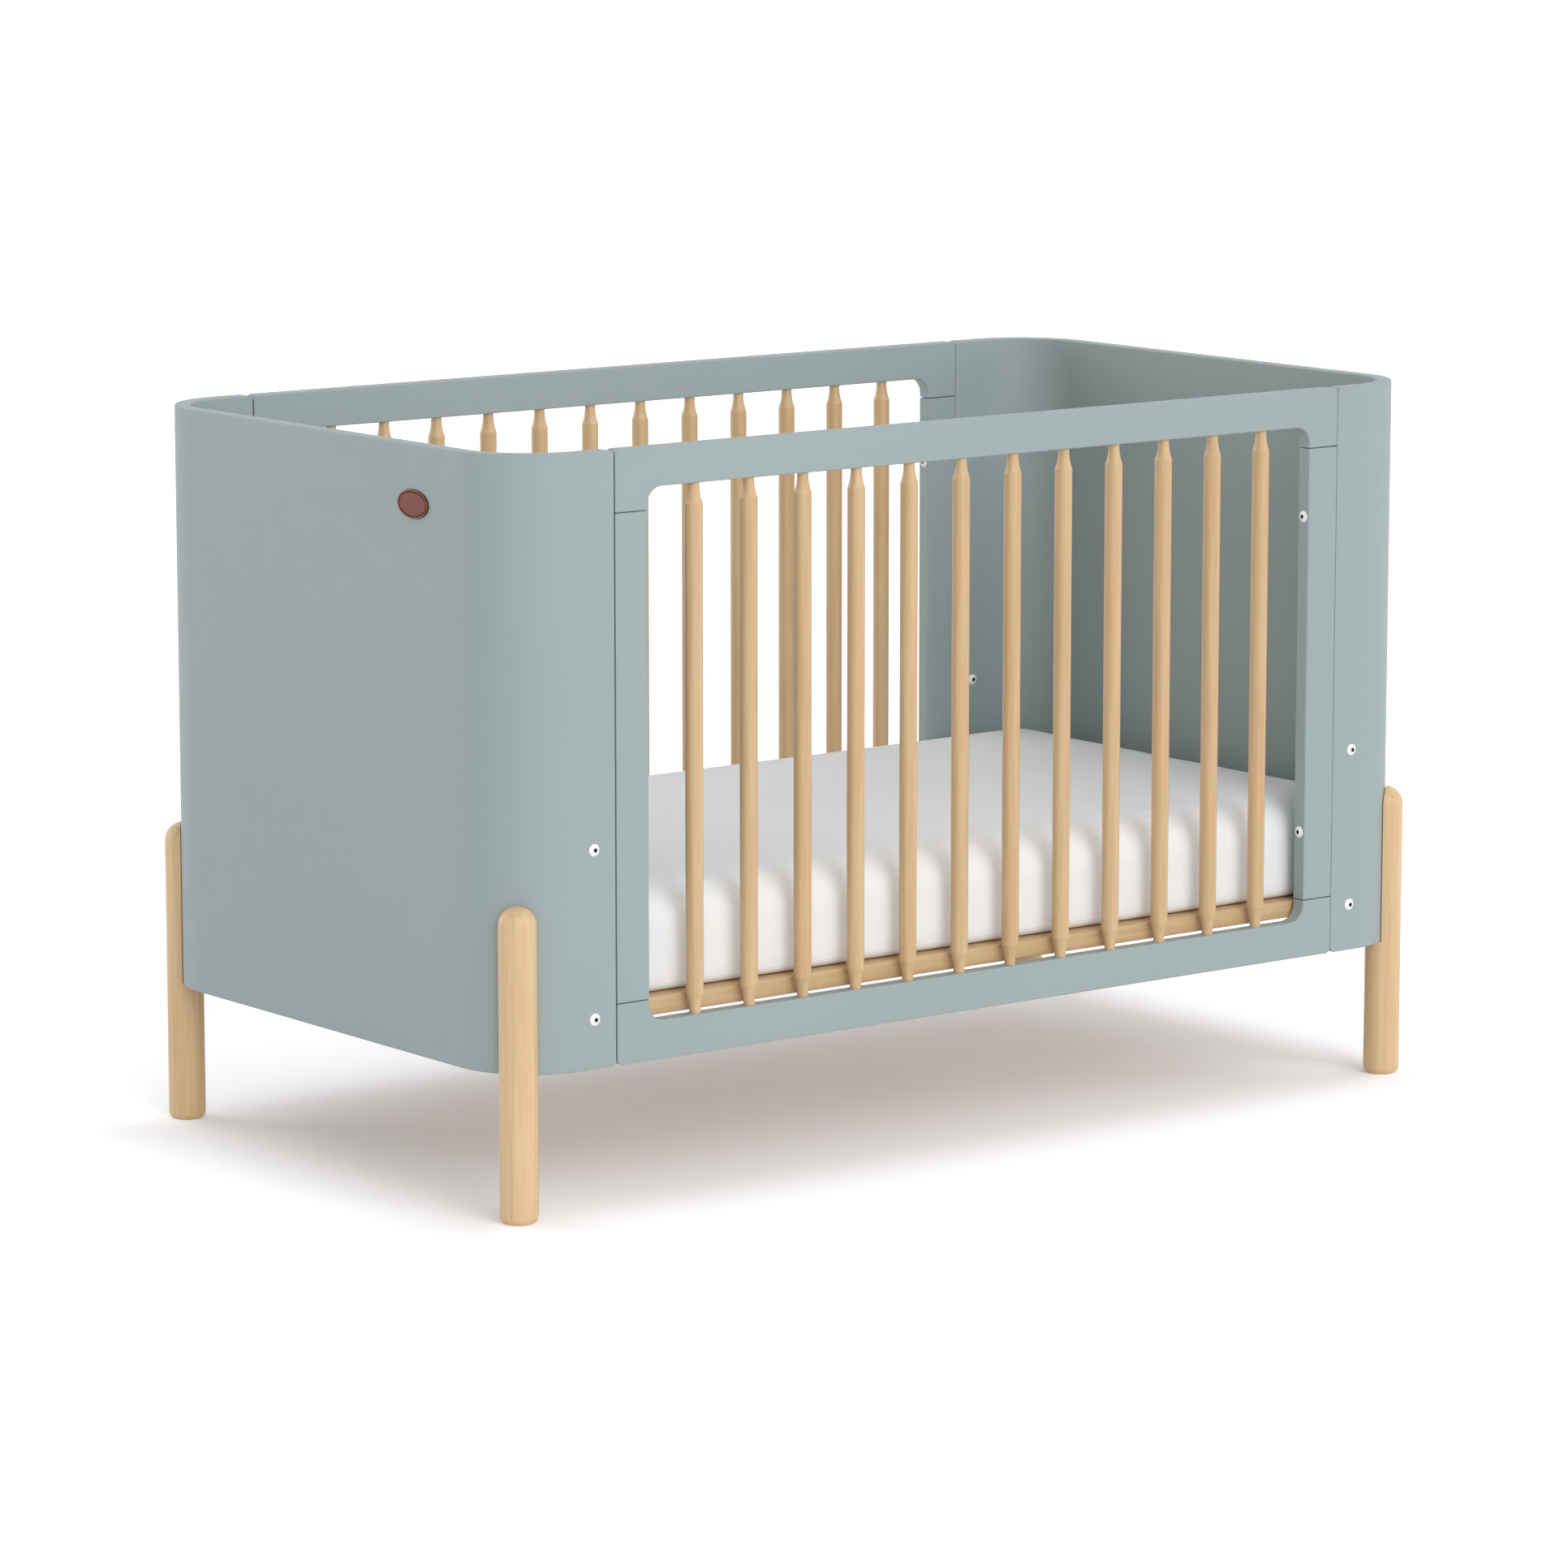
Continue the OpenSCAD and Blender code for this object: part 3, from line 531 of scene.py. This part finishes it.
class CRIB_OT_lacquer_beech(CribOperator, bpy.types.Operator):
    """Give the legs, spindles, dowels and base their clear-lacquered beech"""

    bl_idname = "crib.lacquer_beech"
    bl_label = "Lacquer beech"

    # Nodes whose grain runs along the crib or across it. In all others it runs upwards.
    lengthwise_nodes = (
        "base_front_rail", "base_rear_rail", "base_centre_rail", "panel_dowels")
    crosswise_nodes = ("base_left_rail", "base_right_rail", "base_slats", "base_dowels")

    def execute(self, context):
        look = self.look.beech
        leg = beech("leg", Z, look)
        spindle = beech("spindle", Z, look, look.deep)
        lengthwise = beech("lengthwise", X, look, look.deep)
        crosswise = beech("crosswise", Y, look, look.deep)
        for name, slot in SLOT_OF.items():
            if slot != "beech":
                continue
            if name in self.lengthwise_nodes:
                use_finish(NODES[name], lengthwise)
            elif name in self.crosswise_nodes:
                use_finish(NODES[name], crosswise)
            elif name.endswith("_leg"):
                use_finish(NODES[name], leg)
            else:
                use_finish(NODES[name], spindle)
        return {"FINISHED"}


class CRIB_OT_coat_fasteners(CribOperator, bpy.types.Operator):
    """Coat the bolts and sleeve nuts, and plate the inserts"""

    bl_idname = "crib.coat_fasteners"
    bl_label = "Coat fasteners"

    # Half the width of the hex sockets across their corners
    socket_radius = 2.95 * MM
    # Radius of the bolts' and sleeve nuts' heads
    head_radius = 7 * MM

    def coat(self, name, centre, half, axis, outward):
        """Coats a node's heads, whose tops lie at centre plus or minus half."""
        finish = capped_steel(name, self.look.steel, centre, half, axis, outward,
                              self.socket_radius)
        use_finish(NODES[name], finish)

    def head_levels(self, low, high):
        """Height midway between a node's lowest and highest heads, and their distance
        from it."""
        lowest, highest = low.z + self.head_radius, high.z - self.head_radius
        return (lowest + highest) / 2, (highest - lowest) / 2

    def execute(self, context):
        # Base bolts: heads on the outer faces of the returns
        low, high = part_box("base_bolts")
        middle, half = self.head_levels(low, high)
        bolt_x = high.x - self.head_radius
        self.coat("base_bolts", (0, 0, middle), (bolt_x, high.y, half), Y, 1)
        # Sleeve nuts: heads on the inner faces of the returns
        for name in ("upper_sleeve_nuts", "lower_sleeve_nuts"):
            low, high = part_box(name)
            head_y = inner_reach(name, 1)
            self.coat(name, (0, 0, (low.z + high.z) / 2), (bolt_x, head_y, 0), Y, -1)
        # Frame bolts: heads on the stiles' inner faces
        low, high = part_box("frame_bolts")
        middle, half = self.head_levels(low, high)
        bolt_y = high.y - self.head_radius
        head_x = inner_reach("frame_bolts", 0)
        self.coat("frame_bolts", (0, 0, middle), (head_x, bolt_y, half), X, -1)
        # Leg bolts: heads inside the bends, facing the middle of the bed at 45 degrees
        low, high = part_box("leg_bolts")
        middle, half = self.head_levels(low, high)
        diagonal = (X + Y).normalized()
        inner = min(abs(v.co.x) + abs(v.co.y) for v in NODES["leg_bolts"].data.vertices)
        longer = high.x - high.y
        head_top = ((inner + longer) / 2, (inner - longer) / 2)
        self.coat("leg_bolts", (0, 0, middle), (*head_top, half), diagonal, -1)
        plated = zinc_steel(self.look.steel)
        for name, slot in SLOT_OF.items():
            if slot == "zinc_steel":
                use_finish(NODES[name], plated)
        return {"FINISHED"}


class CRIB_OT_finish_badge(CribOperator, bpy.types.Operator):
    """Give the badge its copper field, rubbed rim and dark groove"""

    bl_idname = "crib.finish_badge"
    bl_label = "Finish badge"

    def execute(self, context):
        finish = antique_copper(self.look.badge, *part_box("badge"))
        use_finish(NODES["badge"], finish)
        return {"FINISHED"}


class CRIB_OT_make_mattress(CribOperator, bpy.types.Operator):
    """Make the padded mattress in the place of its plain solid"""

    bl_idname = "crib.make_mattress"
    bl_label = "Make mattress"

    # Radius of the upright corners, and of the edges round the top and bottom
    corner_radius = 34 * MM
    top_radius = 30 * MM
    bottom_radius = 14 * MM
    # Radii of those edges under the cloth, which rounds the lower one further
    cloth_top_radius = 44 * MM
    cloth_bottom_radius = 6 * MM

    def rounded_block(self, low, high, top_radius, bottom_radius):
        """A block whose upright corners and level edges are rounded."""
        deselect_all()
        bpy.ops.mesh.primitive_cube_add(size=1, location=(low + high) / 2)
        piece = name_piece("mattress_pad")
        piece.scale = high - low
        settle(piece)
        bpy.ops.object.mode_set(mode="EDIT")
        select_edges(piece, edge_is_upright)
        bpy.ops.mesh.bevel(offset=self.corner_radius, segments=8, affect="EDGES")
        for height, radius in ((high.z, top_radius), (low.z, bottom_radius)):
            select_edges(piece, lambda edge: edge_lies_at(edge, height))
            bpy.ops.mesh.bevel(offset=radius, segments=6, affect="EDGES")
        bpy.ops.object.mode_set(mode="OBJECT")
        return piece

    def fill_cover(self, piece, look):
        """Swells the pad with a cloth simulation, and caps how far each point moves: the
        sides hardly draw in, and the lower edge stays where it rests on the base."""
        remesh = piece.modifiers.new("grid", "REMESH")
        remesh.mode = "VOXEL"
        remesh.voxel_size = look.voxel
        apply_modifiers(piece)
        start = [(v.co.copy(), v.normal.copy()) for v in piece.data.vertices]
        base = min(place.z for place, outwards in start)
        cloth = piece.modifiers.new("cover", "CLOTH")
        cloth.settings.use_pressure = True
        cloth.settings.uniform_pressure_force = look.pressure
        cloth.settings.effector_weights.gravity = 0
        cloth.point_cache.frame_start = 1
        cloth.point_cache.frame_end = look.frames
        scene = bpy.context.scene
        for step in range(1, look.frames + 1):
            scene.frame_set(step)
        apply_modifiers(piece)
        scene.frame_set(1)
        for vertex, (before, outwards) in zip(piece.data.vertices, start):
            move = vertex.co - before
            move *= min(1, look.cap / max(move.length, look.cap))
            inwards = -move.dot(outwards)
            if inwards > look.slack:
                move += outwards * (inwards - look.slack)
            vertex.co = before + move * min(1, (before.z - base) / look.rest)

    def execute(self, context):
        look = self.look.mattress
        low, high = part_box("mattress")
        start_low = low + Vector((look.side_gap, look.side_gap, 0))
        start_high = high - Vector((look.side_gap, look.side_gap, -look.loft))
        piece = self.rounded_block(
            start_low, start_high, self.cloth_top_radius, self.cloth_bottom_radius)
        self.fill_cover(piece, look)
        smooth = piece.modifiers.new("smooth", "SUBSURF")
        smooth.levels = 1
        smooth.render_levels = 1
        apply_modifiers(piece)
        bpy.ops.object.shade_smooth()
        use_finish(piece, knitted_cover(look))
        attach(piece, "mattress")
        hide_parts("mattress")
        return {"FINISHED"}


class CRIB_OT_set_stage(CribOperator, bpy.types.Operator):
    """Add the floor, the soft lights and the camera"""

    bl_idname = "crib.set_stage"
    bl_label = "Set stage"

    # Side of the floor, in metres
    floor_size = 60
    # Painted shadow: how far the rectangle inside which the floor does not glow reaches past the
    # crib's sides, or falls short of its rear
    past_left = 77 * MM
    past_right = 38 * MM
    past_front = 28 * MM
    short_rear = 35 * MM
    # Where the floor's painted glow starts and is full, from the painted shadow's edge outwards
    glow_start = -100 * MM
    glow_full = 110 * MM

    def execute(self, context):
        look = self.look.stage
        self.make_floor(look)
        self.light_world(look)
        self.add_sun("key", look.key, azimuth=-2, elevation=32, softness=45)
        self.add_sun("low", look.low, azimuth=-20, elevation=12, softness=45)
        self.add_sun("above", look.above, azimuth=0, elevation=60, softness=40)
        self.add_sun("right", look.right, azimuth=60, elevation=12, softness=20)
        self.add_sun("far_right", look.far_right, azimuth=90, elevation=45, softness=32)
        self.add_sun("rear_left", look.rear_left, azimuth=-150, elevation=12, softness=32)
        self.add_sun("rear", look.rear, azimuth=180, elevation=45, softness=32)
        self.place_camera(look)
        context.scene.view_settings.view_transform = "Standard"
        return {"FINISHED"}

    def make_floor(self, look):
        """A wide, level floor that the crib stands on."""
        deselect_all()
        bpy.ops.mesh.primitive_plane_add(size=self.floor_size, location=(0, 0, 0))
        floor = name_piece("floor")
        use_finish(floor, self.floor_finish(look))

    def floor_finish(self, look):
        """Pale floor that shows white to the camera and keeps the crib's shadow. Its glow, which
        the camera, mirrors and glass see, is painted light: it grows outside a rectangle round
        the crib, so that a painted shadow ends there.
        """
        finish, tree, shader = new_finish("pale_floor")
        tree.nodes.remove(shader)
        seen = seen_directly(tree)
        shade = blend_colors(tree, seen, rgba(look.floor), rgba(look.floor_seen))
        matte = add(tree, "ShaderNodeBsdfDiffuse", {"Color": shade})
        glow = add(tree, "ShaderNodeMapRange", {
            "Value": self.past_painted_shadow(tree), "From Min": self.glow_start,
            "From Max": self.glow_full, "To Min": look.lift, "To Max": look.lift + look.glow,
        }, interpolation_type="SMOOTHSTEP").outputs[0]
        # Painted light: an emission seen by camera, mirror and glass rays alone, strongest outside
        # the painted shadow
        light = add(tree, "ShaderNodeEmission", {
            "Color": rgba(look.glow_color),
            "Strength": math_node(tree, "MULTIPLY", seen, glow)})
        both = add(tree, "ShaderNodeAddShader", {
            0: matte.outputs[0], 1: light.outputs[0]})
        output = tree.nodes["Material Output"]
        tree.links.new(both.outputs[0], output.inputs["Surface"])
        return finish

    def past_painted_shadow(self, tree):
        """How far a point of the floor lies outside the painted shadow's rectangle round the crib,
        or inside if less than zero."""
        low, high = (Vector(corner) for corner in CAD_BOX)
        low -= Vector((self.past_left, self.past_front, 0))
        high += Vector((self.past_right, -self.short_rear, 0))
        offset = vector_node(tree, "SUBTRACT", object_place(tree), (low + high) / 2)
        offset = vector_node(
            tree, "SUBTRACT", vector_node(tree, "ABSOLUTE", offset), (high - low) / 2)
        sides = add(tree, "ShaderNodeSeparateXYZ", {0: offset}).outputs
        return math_node(tree, "MAXIMUM", sides["X"], sides["Y"])

    def light_world(self, look):
        """Even light from all round, which shows white to the camera."""
        world = bpy.data.worlds.new("studio")
        bpy.context.scene.world = world
        world.use_nodes = True
        tree = world.node_tree
        seen = seen_directly(tree)
        strength = add(tree, "ShaderNodeMix", {
            "Factor": seen, 2: look.ambient, 3: 1.0}, data_type="FLOAT").outputs[0]
        background = tree.nodes["Background"]
        background.inputs["Color"].default_value = (1, 1, 1, 1)
        tree.links.new(strength, background.inputs["Strength"])

    def add_sun(self, name, strength, azimuth, elevation, softness):
        """A wide sun. Azimuth 0 shines from the front and 90 from the right end."""
        lamp = bpy.data.lights.new(name, "SUN")
        lamp.energy = strength
        lamp.angle = math.radians(softness)
        thing = bpy.data.objects.new(name, lamp)
        bpy.context.collection.objects.link(thing)
        thing.rotation_euler = (
            math.radians(90 - elevation), 0, math.radians(azimuth))

    def place_camera(self, look):
        """A camera at look.distance from the point that it looks at."""
        data = bpy.data.cameras.new("camera")
        data.sensor_width = 36
        data.lens = look.lens
        data.clip_start, data.clip_end = 0.1, 100
        camera = bpy.data.objects.new("camera", data)
        bpy.context.collection.objects.link(camera)
        level = math.cos(look.elevation)
        ahead = Vector((math.sin(look.azimuth) * level, math.cos(look.azimuth) * level,
                        -math.sin(look.elevation)))
        aim = Vector((0, look.aim_depth, look.aim_height))
        camera.location = aim - ahead * look.distance
        camera.rotation_euler = ahead.to_track_quat("-Z", "Y").to_euler()
        bpy.context.scene.camera = camera


STEPS = (
    CRIB_OT_paint_boards, CRIB_OT_lacquer_beech, CRIB_OT_coat_fasteners,
    CRIB_OT_finish_badge, CRIB_OT_make_mattress, CRIB_OT_set_stage,
)


class CRIB_PT_sidebar(bpy.types.Panel):
    """Lists the crib's steps and looks"""

    bl_idname = "CRIB_PT_sidebar"
    bl_label = "Baby crib"
    bl_space_type = "VIEW_3D"
    bl_region_type = "UI"
    bl_category = "Crib"

    def draw(self, context):
        column = self.layout.column(align=True)
        for step in STEPS:
            column.operator(step.bl_idname)
        look = context.scene.crib_look
        for group in ("paint", "beech", "steel", "badge", "mattress", "stage"):
            box = self.layout.box()
            box.label(text=group.capitalize())
            values = getattr(look, group)
            for name in values.__annotations__:
                box.prop(values, name)


CLASSES = (
    PaintLook, BeechLook, SteelLook, BadgeLook, MattressLook, StageLook, CribLook,
    *STEPS, CRIB_PT_sidebar,
)


def register():
    for each in CLASSES:
        bpy.utils.register_class(each)
    bpy.types.Scene.crib_look = PointerProperty(type=CribLook)


def unregister():
    del bpy.types.Scene.crib_look
    for each in reversed(CLASSES):
        bpy.utils.unregister_class(each)


def main():
    register()
    for step in STEPS:
        group, name = step.bl_idname.split(".")
        getattr(getattr(bpy.ops, group), name)()


if __name__ == "__main__":
    main()
